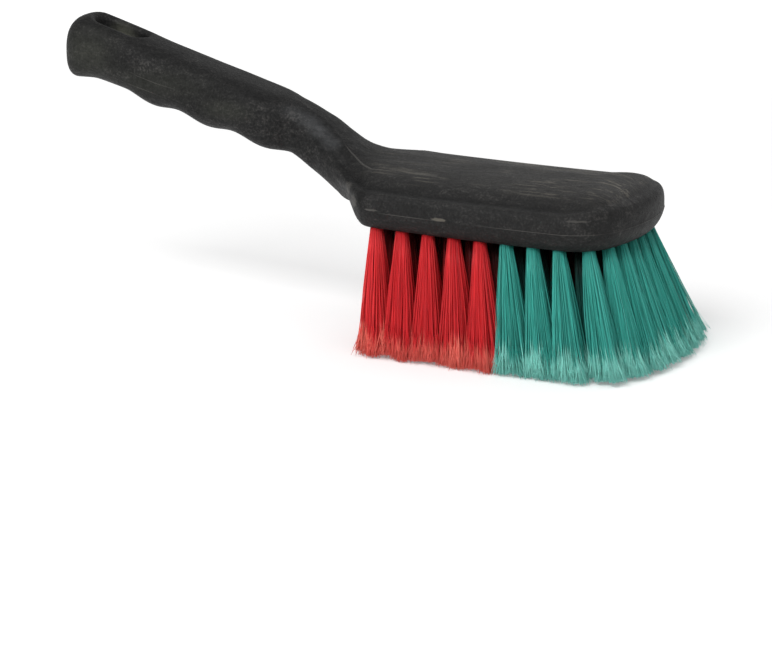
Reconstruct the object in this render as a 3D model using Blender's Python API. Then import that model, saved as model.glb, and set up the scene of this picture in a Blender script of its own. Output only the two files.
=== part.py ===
"""A short-handled hand brush: one moulded handle and block, and sixteen groups of splayed bristle tufts.

Metres, +Z up. X runs from the handle's end (-X) to the front of the brush (+X), and the brush is
symmetrical about Y = 0. The trimmed bristle tips lie on Z = 0. The origin is the middle of the whole
brush, seen from above, on the plane of the tips.
"""

import math

import bmesh
import bpy
from mathutils import Vector

# Overall sizes.
overall_length = 0.320
trim_length = 0.0569
tip_overhang = 0.0149

# The block that holds the bristles.
block_length = 0.128
block_width = 0.0878
block_height = 0.0269
front_radius = 0.098
corner_radius = 0.0250
lower_round_height = 0.0074
lower_round_width = 0.0042
rear_round_height = 0.0112
rear_round_width = 0.0060
rear_round_reach = 0.0115
band_height = 0.0135
shoulder_radius = 0.0023
valley_inset = 0.0071
valley_height = 0.0186
front_shoulder_radius = 0.0040
front_valley_inset = 0.0076
front_valley_height = 0.0190

# The handle.
handle_rise = 0.0555
grip_end_width = 0.0298
grip_width = 0.0346
neck_width = 0.0240
grip_end_depth = 0.0346
grip_depth = 0.0303
neck_depth = 0.0263
bend_depth = 0.0280
flare_depth = 0.0192
end_plan_radius = 0.0100
end_top_radius = 0.0150
end_under_radius = 0.0054
lobe_count = 3
lobe_height = 0.0024
lobe_pitch = 0.0305
last_lobe_offset = 0.0675

# The hang slot, which is longer and further forward at the handle's top, and its rounded rims.
slot_length = 0.0236
slot_width = 0.0112
slot_end_distance = 0.0248
slot_top_length = 0.0278
slot_top_width = 0.0124
slot_top_end_distance = 0.0269
slot_rim_radius = 0.0026

# The bristles: tufts in eight rows and a curved front column, each slice of backing in one pocket.
pocket_depth = 0.0030
pocket_inset = 0.0044
pocket_rear_margin = 0.0042
fit_gap = 0.0003
outer_row_inset = 0.0076
first_tuft_offset = 0.0066
outer_row_gap = 0.0130
second_row_gap = 0.0126
inner_row_gap = 0.0104
ring_inset = 0.0077
rear_lean = 0.0035
strand_root_side = 0.0012
strand_root_spread = 0.00145
strand_tip_side = 0.0023
strand_tip_spread = 0.0032
strand_embed = 0.0012
overrun = 0.0040

# Tufts in line in each row, from the side to the middle: red ones, green ones, and how far the last
# one stands behind the tuft that ends its row in the front column.
row_tufts = (
    (5, 3, outer_row_gap), (6, 4, second_row_gap), (9, 1, inner_row_gap), (9, 1, inner_row_gap),
)

# How the outlines run, as shares of the sizes that they follow.
# Along the handle, a share of 0 is the block's rear and 1 is the handle's end.
top_line_shares = (
    (0.0, 0.0), (0.05, 0.008), (0.10, 0.039), (0.155, 0.139), (0.21, 0.258),
    (0.30, 0.383), (0.46, 0.526), (0.70, 0.738), (0.83, 0.868), (0.92, 0.947), (1.0, 1.0),
)
rear_rise_shares = (
    (-0.022, 0.0), (0.0, 0.16), (0.014, 0.42), (0.028, 0.70), (0.044, 0.90), (0.065, 1.0),
)
flare_width_shares = (
    (0.0, 1.0), (0.018, 0.95), (0.052, 0.69), (0.086, 0.445), (0.12, 0.28), (0.155, 0.155),
    (0.19, 0.07), (0.23, 0.0),
)
neck_start_share = 0.295
neck_shoulder_share = 0.33
grip_shoulder_share = 0.365
grip_widest_share = 0.40
neck_shoulder_width_share = 0.55
grip_shoulder_width_share = 0.95
under_knee_share = 0.14
bend_share = 0.215
neck_under_share = 0.31
grip_front_share = 0.47
grip_back_share = 0.885
grip_front_depth_share = 0.20
section_power = 2.6
blend_start_share = 0.21
blend_end_share = 0.015
dome_shares = (1.0, 0.90, 0.76, 0.60, 0.42, 0.22, 0.0)
dome_power = 0.84
front_dome_power = 0.30
front_turn_share = 1.5
flat_shares = (0.35, 0.70)
fan_share = 1.34
front_lean_power = 3.0
ring_pitch_share = 0.885
slice_pitch_share = 0.94

# How finely the curved shapes are cut up.
round_steps = 3
end_steps = 7
grip_station_count = 20
neck_station_count = 21
rear_station_count = 4
block_station_count = 5
front_rib_count = 14
slot_arc_steps = 6
pocket_outline_steps = 44
slice_outline_steps = 8

# Places that follow from the sizes.
handle_end_x = -overall_length / 2
front_x = overall_length / 2 - tip_overhang
block_rear_x = front_x - block_length
handle_length = block_rear_x - handle_end_x
underside_z = trim_length
top_z = underside_z + block_height
block_half = block_width / 2

# The block's front is one wide arc with a tighter arc at each corner, tangent to it and to the side.
front_centre_x = front_x - front_radius
corner_y = block_half - corner_radius
corner_reach = math.sqrt((front_radius - corner_radius) ** 2 - corner_y ** 2)
corner_x = front_centre_x + corner_reach

# The rows of tufts, the column round the front and the strips of backing that carry them.
outer_row_y = block_half - outer_row_inset
row_pitch = 2 * outer_row_y / (2 * len(row_tufts) - 1)
ring_pitch = row_pitch * ring_pitch_share
slice_pitch = row_pitch * slice_pitch_share
pocket_rear_x = block_rear_x + pocket_rear_margin
first_tuft_x = block_rear_x + first_tuft_offset

# Colours as linear values, read off the photograph.
black_colour = (0.036, 0.035, 0.036, 1.0)
red_colour = (0.440, 0.022, 0.026, 1.0)
green_colour = (0.038, 0.222, 0.190, 1.0)
plastic_roughness = 0.48
bristle_roughness = 0.42


def clear_scene():
    """Removes every object of the open scene."""
    for obj in list(bpy.data.objects):
        bpy.data.objects.remove(obj, do_unlink=True)


def make_material(name, colour, roughness):
    """A plain Principled material."""
    material = bpy.data.materials.new(name)
    material.use_nodes = True
    shader = material.node_tree.nodes["Principled BSDF"]
    shader.inputs["Base Color"].default_value = colour
    shader.inputs["Roughness"].default_value = roughness
    shader.inputs["Metallic"].default_value = 0.0
    return material


def black_plastic():
    return make_material("black_plastic", black_colour, plastic_roughness)


def red_bristle():
    return make_material("red_bristle", red_colour, bristle_roughness)


def green_bristle():
    return make_material("green_bristle", green_colour, bristle_roughness)


def smooth_line(points, place):
    """Height at a place along a line through points, with no overshoot between them."""
    points = sorted(points)
    if place <= points[0][0]:
        return points[0][1]
    if place >= points[-1][0]:
        return points[-1][1]
    runs = [b[0] - a[0] for a, b in zip(points, points[1:])]
    slopes = [(b[1] - a[1]) / run for a, b, run in zip(points, points[1:], runs)]
    tangents = [slopes[0]]
    for before, after in zip(slopes, slopes[1:]):
        steady = before * after > 0
        tangents.append(2 * before * after / (before + after) if steady else 0.0)
    tangents.append(slopes[-1])
    i = max(k for k in range(len(runs)) if points[k][0] <= place)
    t = (place - points[i][0]) / runs[i]
    start, end = points[i][1], points[i + 1][1]
    return (
        start * (2 * t ** 3 - 3 * t ** 2 + 1) + end * (3 * t ** 2 - 2 * t ** 3)
        + runs[i] * (tangents[i] * (t ** 3 - 2 * t ** 2 + t) + tangents[i + 1] * (t ** 3 - t ** 2))
    )


def smooth_step(value):
    value = min(max(value, 0.0), 1.0)
    return value * value * (3 - 2 * value)


def handle_share(x):
    """How far along the handle x lies: 0 at the block, 1 at the handle's end."""
    return (block_rear_x - x) / handle_length


def rounded_end(x, radius):
    """How much an edge with this radius has drawn in at x, close to the handle's end."""
    from_end = min((x - handle_end_x) / radius, 1.0)
    return radius * (1 - math.sqrt(max(1 - (1 - from_end) ** 2, 0.0)))


def top_line(x):
    """Height of the handle's and the block's top along the middle."""
    return top_z + handle_rise * smooth_line(top_line_shares, handle_share(x))


def finger_lobes(x):
    """Extra depth of the grip's lobes, which fit between the fingers."""
    from_front = (block_rear_x - last_lobe_offset - x) / lobe_pitch
    if not -0.5 < from_front < lobe_count - 0.5:
        return 0.0
    return lobe_height * (1 + math.cos(2 * math.pi * from_front)) / 2


def under_line(x):
    """Height of the underside along the middle."""
    grip_front_depth = neck_depth + (grip_depth - neck_depth) * grip_front_depth_share
    rear = [(at, block_height + (flare_depth - block_height) * share) for at, share in rear_rise_shares]
    grip = [
        (under_knee_share, neck_depth), (bend_share, bend_depth), (neck_under_share, neck_depth),
        (grip_front_share, grip_front_depth), (grip_back_share, grip_depth), (1.0, grip_end_depth),
    ]
    return top_line(x) - smooth_line(rear + grip, handle_share(x)) - finger_lobes(x)


def plan_half_width(x):
    """Half width of the handle and of the block behind its front corners."""
    neck_half = neck_width / 2
    grip_half = grip_width / 2
    shoulder_half = neck_half + (grip_half - neck_half) * neck_shoulder_width_share
    grip_front_half = neck_half + (grip_half - neck_half) * grip_shoulder_width_share
    flare = [(at, neck_half + (block_half - neck_half) * share) for at, share in flare_width_shares]
    grip = [
        (neck_start_share, neck_half), (neck_shoulder_share, shoulder_half),
        (grip_shoulder_share, grip_front_half), (grip_widest_share, grip_half),
        (1.0, grip_end_width / 2),
    ]
    return smooth_line(flare + grip, handle_share(x))


def handle_rib(x, turns):
    """Half of the handle's rounded section, from the middle of its underside to that of its top."""
    half = plan_half_width(x) - rounded_end(x, end_plan_radius)
    top = top_line(x) - rounded_end(x, end_top_radius)
    under = under_line(x) + rounded_end(x, end_under_radius)
    power = 2 / section_power
    rib = []
    for i in range(turns):
        angle = math.pi * (i / (turns - 1) - 0.5)
        out = half * max(math.cos(angle), 0.0) ** power
        up = math.copysign(abs(math.sin(angle)) ** power, math.sin(angle))
        rib.append((out, (top + under) / 2 + up * (top - under) / 2))
    rib[0] = (0.0, under)
    rib[-1] = (0.0, top)
    return rib


def block_rib(edge, under, top, rear_weight, front_weight):
    """Half of the block's section: flat underside, rounded edge, side band, soft valley and domed top.

    edge gives the distance from the middle to the outline drawn in by an inset. The band and the
    valley keep their distance below the top, also where the underside rises towards the neck.
    rear_weight turns the lower edge's rounding into the fuller one of the rear corners, and
    front_weight turns the shoulder, the valley and the dome into the higher ones of the front.
    """
    band_z = top - block_height + band_height
    round_width = lower_round_width + (rear_round_width - lower_round_width) * rear_weight
    round_height = lower_round_height + (rear_round_height - lower_round_height) * rear_weight
    round_height *= (band_z - under) / band_height
    flat = edge(round_width)
    rib = [(0.0, under)] + [(flat * share, under) for share in flat_shares] + [(flat, under)]
    for i in range(1, round_steps + 1):
        angle = math.pi / 2 * i / round_steps
        inset = round_width * (1 - math.sin(angle))
        rib.append((edge(inset), under + round_height * (1 - math.cos(angle))))
    shoulder = shoulder_radius + (front_shoulder_radius - shoulder_radius) * front_weight
    valley_z = band_z - band_height + valley_height
    valley_z += (front_valley_height - valley_height) * front_weight
    for i in range(round_steps + 1):
        angle = math.pi / 2 * i / round_steps
        inset = shoulder * (1 - math.cos(angle))
        rib.append((edge(inset), band_z + (valley_z - band_z) * math.sin(angle)))
    valley = edge(valley_inset + (front_valley_inset - valley_inset) * front_weight)
    power = dome_power + (front_dome_power - dome_power) * front_weight
    for share in dome_shares:
        rise = math.cos(math.pi / 2 * share) ** power
        rib.append((valley * share, valley_z + (top - valley_z) * rise))
    return rib


def section_rib(x):
    """Half of the section at x, blended between the handle's and the block's."""
    def edge(inset):
        return plan_half_width(x) - inset

    rear_weight = smooth_step(1 - (x - block_rear_x) / rear_round_reach)
    block = block_rib(edge, under_line(x), top_line(x), rear_weight, 0.0)
    handle = handle_rib(x, len(block))
    along = (blend_start_share - handle_share(x)) / (blend_start_share - blend_end_share)
    weight = smooth_step(along)
    return [
        (a[0] + (b[0] - a[0]) * weight, a[1] + (b[1] - a[1]) * weight)
        for a, b in zip(handle, block)
    ]


def joint_y(inset):
    """Y where the front arc meets a corner arc, on the outline drawn in by inset."""
    return (front_radius - inset) * corner_y / (front_radius - corner_radius)


def ray_length(angle, inset):
    """Distance from the middle of the corners to the front outline, drawn in by inset."""
    front = front_radius - inset
    aside = corner_reach * math.sin(angle)
    length = math.sqrt(front ** 2 - aside ** 2) - corner_reach * math.cos(angle)
    if length * math.sin(angle) <= joint_y(inset):
        return length
    corner = corner_radius - inset
    along = corner_y * math.sin(angle)
    return along + math.sqrt(corner ** 2 - corner_y ** 2 + along ** 2)


def front_rib(angle):
    """Half section along a ray from the middle of the corners to the front outline."""
    def edge(inset):
        return ray_length(abs(angle), inset)

    front_weight = smooth_step(front_turn_share * math.cos(angle))
    return block_rib(edge, underside_z, top_line(corner_x), 0.0, front_weight)


def stations():
    """The places of the sections along X, close together at the end, the lobes and the neck."""
    end_length = max(end_plan_radius, end_top_radius, end_under_radius)
    places = [
        handle_end_x + end_length * (1 - math.cos(math.pi / 2 * i / end_steps))
        for i in range(end_steps)
    ]
    marks = (
        (handle_end_x + end_length, grip_station_count),
        (block_rear_x - handle_length * grip_widest_share, neck_station_count),
        (block_rear_x, rear_station_count),
        (block_rear_x + rear_round_reach, block_station_count),
        (corner_x, 0),
    )
    for (start, count), (stop, _) in zip(marks, marks[1:]):
        places += [start + (stop - start) * i / count for i in range(count)]
    return places + [corner_x]


def body_mesh():
    """Lofts the sections and closes the front with ribs that turn about the middle of the corners."""
    bm = bmesh.new()
    loops = []
    for x in stations():
        rib = section_rib(x)
        right = [bm.verts.new((x, -out, up)) for out, up in rib]
        left = [bm.verts.new((x, out, up)) for out, up in rib[1:-1]]
        loops.append(right + left[::-1])
    for a, b in zip(loops, loops[1:]):
        for i in range(len(a)):
            j = (i + 1) % len(a)
            bm.faces.new((a[i], b[i], b[j], a[j]))
    bm.faces.new(loops[0])
    last = loops[-1]
    size = len(section_rib(corner_x))
    right = last[:size]
    ribs = [right]
    for k in range(1, front_rib_count):
        angle = math.pi * (k / front_rib_count - 0.5)
        rib = front_rib(angle)
        turned = [
            bm.verts.new((corner_x + out * math.cos(angle), out * math.sin(angle), up))
            for out, up in rib[1:-1]
        ]
        ribs.append([right[0]] + turned + [right[-1]])
    ribs.append([last[0]] + last[:size - 2:-1])
    for a, b in zip(ribs, ribs[1:]):
        for i in range(size - 1):
            corners = (a[i], b[i], b[i + 1], a[i + 1])
            bm.faces.new(list(dict.fromkeys(corners)))
    bmesh.ops.recalc_face_normals(bm, faces=bm.faces)
    return bm


def outline_x(y, inset):
    """X of the block's front outline at y, drawn in by inset."""
    y = abs(y)
    if y <= joint_y(inset):
        return front_centre_x + math.sqrt((front_radius - inset) ** 2 - y ** 2)
    corner = corner_radius - inset
    return corner_x + math.sqrt(max(corner ** 2 - (y - corner_y) ** 2, 0.0))


def strip_outline(rear, low, high, inset, steps):
    """A strip of the block's underside from a straight rear edge to the front outline."""
    points = [(rear, high), (rear, low)]
    for i in range(steps + 1):
        turn = math.pi * (i / steps - 0.5)
        y = (low + high) / 2 + (high - low) / 2 * math.sin(turn)
        points.append((outline_x(y, inset), y))
    return points


def prism(bm, outline, low, high):
    """An upright prism on an outline that runs anticlockwise seen from above."""
    lower = [bm.verts.new((x, y, low)) for x, y in outline]
    upper = [bm.verts.new((x, y, high)) for x, y in outline]
    bm.faces.new(lower[::-1])
    bm.faces.new(upper)
    for i in range(len(outline)):
        j = (i + 1) % len(outline)
        bm.faces.new((lower[i], lower[j], upper[j], upper[i]))


def add_object(name, bm, origin, material=None, smooth=False):
    """Links a mesh as an object with its origin at a point of the brush."""
    bmesh.ops.translate(bm, vec=-Vector(origin), verts=bm.verts)
    mesh = bpy.data.meshes.new(name)
    bm.to_mesh(mesh)
    bm.free()
    mesh.polygons.foreach_set("use_smooth", [smooth] * len(mesh.polygons))
    obj = bpy.data.objects.new(name, mesh)
    obj.location = origin
    bpy.context.scene.collection.objects.link(obj)
    if material:
        mesh.materials.append(material)
    return obj


def boolean(obj, helper, operation):
    """Cuts or joins with a helper object, which stays in the scene but out of the render."""
    helper.hide_render = True
    helper.display_type = "WIRE"
    modifier = obj.modifiers.new(helper.name, "BOOLEAN")
    modifier.operation = operation
    modifier.solver = "EXACT"
    modifier.object = helper


def pocket_cutter():
    """The shallow pocket in the underside that the slices of backing sit in."""
    bm = bmesh.new()
    half = block_half - pocket_inset
    outline = strip_outline(pocket_rear_x, -half, half, pocket_inset, pocket_outline_steps)
    prism(bm, outline, underside_z - overrun, underside_z + pocket_depth)
    return add_object("pocket_cutter", bm, (pocket_rear_x, 0, underside_z))


def slot_ring(sizes, grow, height):
    """One ring of the hang slot's cutter, grown outwards and at a height that may follow X."""
    length, width, end_distance = sizes
    middle_x = handle_end_x + end_distance
    radius = width / 2 + grow
    straight = (length - width) / 2
    ring = []
    for side in (1, -1):
        for i in range(slot_arc_steps + 1):
            turn = math.pi * (i / slot_arc_steps - 0.5)
            x = middle_x + side * (straight + radius * math.cos(turn))
            ring.append((x, side * radius * math.sin(turn), height(x)))
    return ring


def slot_cutter():
    """The hang slot, right through the handle, with rims rounded to its sloping faces."""
    below = (slot_length, slot_width, slot_end_distance)
    above = (slot_top_length, slot_top_width, slot_top_end_distance)
    rings = [slot_ring(below, slot_rim_radius, lambda x: under_line(x) - overrun)]
    for sizes, face, way in ((below, under_line, 1), (above, top_line, -1)):
        steps = range(round_steps + 1) if way > 0 else range(round_steps, -1, -1)
        for i in steps:
            turn = math.pi / 2 * i / round_steps
            grow = slot_rim_radius * (1 - math.sin(turn))
            sink = slot_rim_radius * (1 - math.cos(turn))
            rings.append(slot_ring(sizes, grow, lambda x, f=face, s=way * sink: f(x) + s))
    rings.append(slot_ring(above, slot_rim_radius, lambda x: top_line(x) + overrun))
    bm = bmesh.new()
    loops = [[bm.verts.new(point) for point in ring] for ring in rings]
    for a, b in zip(loops, loops[1:]):
        for i in range(len(a)):
            j = (i + 1) % len(a)
            bm.faces.new((a[i], a[j], b[j], b[i]))
    bm.faces.new(loops[0][::-1])
    bm.faces.new(loops[-1])
    bmesh.ops.recalc_face_normals(bm, faces=bm.faces)
    middle = (handle_end_x + slot_end_distance, 0, top_line(handle_end_x + slot_end_distance))
    return add_object("slot_cutter", bm, middle)


def handle_block():
    """The one-piece moulding: grip, hang slot, neck and block, with the pocket for the bristles."""
    origin = (block_rear_x, 0, underside_z)
    body = add_object("handle_block", body_mesh(), origin, black_plastic(), smooth=True)
    boolean(body, pocket_cutter(), "DIFFERENCE")
    boolean(body, slot_cutter(), "DIFFERENCE")
    return body


def tuft_tip(root_x, root_y):
    """Where a tuft's middle ends: the tufts fan out to the sides and, towards the front, forwards."""
    reach = strand_tip_spread + strand_tip_side / 2
    ring_front_x = outline_x(ring_pitch / 2, ring_inset)
    front_lean = overall_length / 2 - reach - ring_front_x - rear_lean
    along = (root_x - first_tuft_x) / (ring_front_x - first_tuft_x)
    lean = rear_lean + front_lean * max(along, 0.0) ** front_lean_power
    return root_x + lean, root_y * fan_share


def strand(bm, root, tip, offset):
    """One four-sided strand, thin at its root and flat-cut at its tip on the plane of the tips."""
    ends = []
    for place, height, side, spread in (
        (root, underside_z, strand_root_side, strand_root_spread),
        (tip, 0.0, strand_tip_side, strand_tip_spread),
    ):
        centre = (place[0] + offset[0] * spread, place[1] + offset[1] * spread)
        half = side / 2
        ends.append([
            Vector((centre[0] + a * half, centre[1] + b * half, height))
            for a, b in ((-1, -1), (1, -1), (1, 1), (-1, 1))
        ])
    embed_share = strand_embed / underside_z
    upper = [bm.verts.new(a + (a - b) * embed_share) for a, b in zip(*ends)]
    lower = [bm.verts.new(b) for b in ends[1]]
    bm.faces.new(upper)
    bm.faces.new(lower[::-1])
    for i in range(len(lower)):
        j = (i + 1) % len(lower)
        bm.faces.new((lower[i], lower[j], upper[j], upper[i]))


def row_places(row):
    """Roots of one row's tufts on one side: those in line, then the one of the front column."""
    reds, greens, gap = row_tufts[row]
    y = outer_row_y - row * row_pitch
    ring_y = ring_pitch * (len(row_tufts) - row - 0.5)
    ring_x = outline_x(ring_y, ring_inset)
    pitch = (ring_x - gap - first_tuft_x) / (reds + greens - 1)
    return [(first_tuft_x + i * pitch, y) for i in range(reds + greens)] + [(ring_x, ring_y)]


def tuft_group(name, roots, slice_outline, side, material):
    """One slice of backing with its tufts of strands, fused into a single solid."""
    origin = (roots[0][0], side * roots[0][1], underside_z)
    bm = bmesh.new()
    outline = slice_outline if side > 0 else [(x, -y) for x, y in slice_outline][::-1]
    prism(bm, outline, underside_z, underside_z + pocket_depth - fit_gap)
    group = add_object(name, bm, origin, material)
    bm = bmesh.new()
    offsets = ((0, 0), (1, 1), (1, -1), (-1, 1), (-1, -1))
    for x, y in roots:
        tip = tuft_tip(x, y)
        for offset in offsets:
            strand(bm, (x, side * y), (tip[0], side * tip[1]), offset)
    strands = add_object(name + "_strands", bm, origin, material)
    boolean(group, strands, "UNION")
    strands.parent = group
    strands.location = (0, 0, 0)
    return group


def row_groups(row, side, number, red, green):
    """The red group and the green group of one row."""
    reds = row_tufts[row][0]
    places = row_places(row)
    inner = slice_pitch * (len(row_tufts) - 1 - row) + fit_gap / 2
    plate_inset = pocket_inset + fit_gap
    outer = block_half - plate_inset if row == 0 else inner + slice_pitch - fit_gap
    split_x = (places[reds - 1][0] + places[reds][0]) / 2
    rear = pocket_rear_x + fit_gap
    red_end = split_x - fit_gap / 2
    red_outline = [(rear, outer), (rear, inner), (red_end, inner), (red_end, outer)]
    green_rear = split_x + fit_gap / 2
    green_outline = strip_outline(green_rear, inner, outer, plate_inset, slice_outline_steps)
    return [
        tuft_group(f"red_tufts_row_{number}", places[:reds], red_outline, side, red),
        tuft_group(f"green_tufts_row_{number}", places[reds:], green_outline, side, green),
    ]


def main():
    clear_scene()
    brush = bpy.data.objects.new("hand_brush", None)
    brush.empty_display_size = block_height
    bpy.context.scene.collection.objects.link(brush)
    pieces = [handle_block()]
    red, green = red_bristle(), green_bristle()
    rows = len(row_tufts)
    for row in range(rows):
        pieces += row_groups(row, -1, row + 1, red, green)
        pieces += row_groups(row, 1, 2 * rows - row, red, green)
    for piece in pieces:
        piece.parent = brush


main()
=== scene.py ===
from math import ceil, copysign, cos, exp, pi, radians, sin, sqrt

import bmesh
import bpy
import numpy as np
from mathutils import Matrix, Vector
from mathutils.bvhtree import BVHTree

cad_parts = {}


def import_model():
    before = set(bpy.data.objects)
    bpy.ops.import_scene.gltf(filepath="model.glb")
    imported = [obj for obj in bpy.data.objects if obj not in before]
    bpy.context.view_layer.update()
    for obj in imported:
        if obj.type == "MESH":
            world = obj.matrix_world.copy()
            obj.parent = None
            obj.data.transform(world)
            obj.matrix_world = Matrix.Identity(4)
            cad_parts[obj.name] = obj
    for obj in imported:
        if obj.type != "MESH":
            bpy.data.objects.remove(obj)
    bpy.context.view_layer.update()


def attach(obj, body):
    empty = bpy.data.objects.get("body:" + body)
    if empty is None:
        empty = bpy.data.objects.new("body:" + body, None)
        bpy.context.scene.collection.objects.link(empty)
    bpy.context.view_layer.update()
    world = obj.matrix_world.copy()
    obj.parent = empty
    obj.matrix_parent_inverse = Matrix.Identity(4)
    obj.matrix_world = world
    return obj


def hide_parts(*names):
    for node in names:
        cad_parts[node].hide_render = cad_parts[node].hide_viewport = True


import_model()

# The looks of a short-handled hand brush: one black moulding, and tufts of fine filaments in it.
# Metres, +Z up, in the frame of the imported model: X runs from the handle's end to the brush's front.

# The moulding's sizes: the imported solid's, some of them fitted more closely to the photograph.
overall_length = 0.32
trim_length = 0.0566
tip_overhang = 0.0134
block_length = 0.1295
block_width = 0.0878
block_height = 0.0273
front_radius = 0.0888
corner_radius = 0.0248
lower_round_height = 0.0083
lower_round_width = 0.0062
rear_round_height = 0.0112
rear_round_width = 0.0068
rear_round_reach = 0.0115
band_height = 0.0135
valley_inset = 0.0068
valley_height = 0.0174
front_valley_inset = 0.0048
front_valley_height = 0.0207
handle_rise = 0.05575
grip_end_width = 0.0298
grip_width = 0.0346
neck_width = 0.024
grip_end_depth = 0.0346
grip_depth = 0.0303
neck_depth = 0.0263
knee_depth = 0.0276
bend_depth = 0.0292
flare_depth = 0.0224
end_plan_radius = 0.01
end_top_radius = 0.015
end_under_radius = 0.0054
lobe_count = 3
lobe_height = 0.0024
lobe_pitch = 0.0305
last_lobe_offset = 0.0675
slot_length = 0.0236
slot_width = 0.0112
slot_end_distance = 0.0248
slot_top_length = 0.0276
slot_top_width = 0.0124
slot_top_end_distance = 0.0272
slot_rim_radius = 0.0038
slot_under_rim_radius = 0.0028
overrun = 0.004

# How far the block's middle and the trimmed tips have sagged between their ends.
sag_height = 0.00062
tip_sag_height = 0.00104
sag_middle_x = 0.082
sag_half_length = 0.062
sag_reach_shares = (-1.05, 1.3)

# The rows of tufts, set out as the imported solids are.
outer_row_inset = 0.008
first_tuft_offset = 0.0077
outer_row_gap = 0.0128
second_row_gap = 0.0126
inner_row_gap = 0.0104
ring_inset = 0.0078
rear_lean = 0.0065
tip_reach = 0.00345
row_tufts = (
    (5, 3, outer_row_gap), (6, 4, second_row_gap), (9, 1, inner_row_gap), (9, 1, inner_row_gap),
)
fan_share = 1.36
forward_lean_shares = (
    (0.0, 0.0), (0.19, 0.06), (0.31, 0.23), (0.44, 0.36), (0.56, 0.48), (0.69, 0.55), (0.81, 0.61),
    (1.0, 1.0),
)
far_corner_lean = 0.006
ring_pitch_share = 0.885

# How the moulding's outlines run.
top_line_shares = (
    (0.0, 0.0), (0.05, 0.008), (0.1, 0.04), (0.155, 0.139), (0.21, 0.258),
    (0.3, 0.382), (0.46, 0.526), (0.7, 0.737), (0.83, 0.867), (0.92, 0.947), (1.0, 1.0),
)
rear_rise_shares = (
    (-0.022, 0.0), (0.0, 0.06), (0.014, 0.2), (0.028, 0.42), (0.044, 0.72), (0.065, 1.0),
)
flare_width_shares = (
    (-0.025, 1.0), (-0.012, 0.985), (0.0, 0.94), (0.018, 0.85), (0.052, 0.65), (0.086, 0.445),
    (0.12, 0.28), (0.155, 0.155), (0.19, 0.07), (0.23, 0.0),
)
grip_width_shares = ((0.295, 0.0), (0.33, 0.55), (0.365, 0.95), (0.4, 1.0))
under_knee_share = 0.14
bend_share = 0.215
neck_under_share = 0.31
grip_front_share = 0.47
grip_back_share = 0.885
grip_front_depth_share = 0.2
section_power = 2.6
blend_start_share = 0.21
blend_end_share = 0.015
front_turn_share = 1.8
# How far round the front the valley's painted shade reaches.
front_shade_share = 0.95

# The padded rim, from the seam to the valley, and the dome, from the valley to the middle.
rim_inset_shares = ((0.0, 0.0), (0.25, 0.02), (0.5, 0.14), (0.7, 0.34), (0.85, 0.62), (1.0, 1.0))
rim_rise_shares = ((0.0, 0.0), (0.25, 0.45), (0.5, 0.8), (0.7, 0.95), (0.85, 0.995), (1.0, 1.0))
front_rim_rise_shares = ((0.0, 0.0), (0.25, 0.36), (0.5, 0.64), (0.7, 0.79), (0.85, 0.9), (1.0, 1.0))
dome_rise_shares = (
    (0.0, 0.0), (0.03, 0.02), (0.07, 0.1), (0.12, 0.24), (0.18, 0.38), (0.27, 0.54), (0.42, 0.71),
    (0.62, 0.87), (1.0, 1.0),
)
front_dome_rise_shares = (
    (0.0, 0.0), (0.03, 0.09), (0.08, 0.26), (0.15, 0.44), (0.25, 0.61), (0.42, 0.8), (0.62, 0.91),
    (1.0, 1.0),
)

# How finely the moulding is cut up, and the painted shade on the steps beside the valley.
flat_steps = 5
round_steps = 9
rim_steps = 24
dome_steps = 24
valley_shade = 0.62
valley_shade_steps_below = 9
valley_shade_steps_above = 4
end_steps = 14
station_step = 0.0008
front_rib_count = 60
slot_arc_steps = 18

# The upright hollow behind the rear end of the padded rim, darkened with painted shade.
dent_x = 0.0198
dent_half_width = 0.0024
dent_depth = 0.0009
dent_low_z = 0.0645
dent_high_z = 0.0775
dent_fade = 0.0035
dent_start_y = 0.034
dent_shade = 0.55

# The fine line that the two halves of the mould leave along the side band.
seam_gap = 0.0006
seam_half_width = 0.00025
draft_angle_share = 0.7
seam_height = 0.00016

# The fine raised lines: the neck's crease in plan, the mould lines along X and Z, the round mark
# and the grip's wrinkles.
crease_path = (
    (-0.0108, 0.0068), (-0.0058, 0.0091), (-0.0023, 0.0108), (0.0015, 0.0129), (0.0056, 0.0159),
    (0.0115, 0.02), (0.0172, 0.0229), (0.024, 0.023), (0.0302, 0.0207), (0.0342, 0.0185),
)
mould_line_paths = (
    (
        (-0.127, 0.116), (-0.1148, 0.1121), (-0.1021, 0.109), (-0.0951, 0.1078),
        (-0.0854, 0.1052), (-0.077, 0.1031),
    ),
    (
        (-0.1402, 0.1119), (-0.1258, 0.1086), (-0.1082, 0.1048), (-0.0959, 0.1016),
        (-0.0853, 0.0989), (-0.0748, 0.0964),
    ),
)
high_z = 0.2
crease_radius = 0.0006
mould_line_radius = 0.00026
bead_sink_share = 0.55
bead_sides = 8
bead_steps = 90
bead_end_share = 0.02
# How much painted highlight the crease and the mould lines get, where the seam's crest gets 1.
crease_highlight = 1.15
mould_line_highlight = 0.74
ring_mark_x = 0.0125
ring_mark_y = -0.012
ring_mark_radius = 0.00425
ring_mark_points = 24
ring_mark_bead_radius = 0.00025
wrinkle_count = 9
wrinkle_start_x = -0.122
wrinkle_pitch = 0.0071
wrinkle_wave = 0.0007
wrinkle_ys = (-0.0075, -0.0045, -0.0015, 0.0015, 0.0045, 0.0075)
wrinkle_radius = 0.00032
wrinkle_steps = 24

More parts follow.
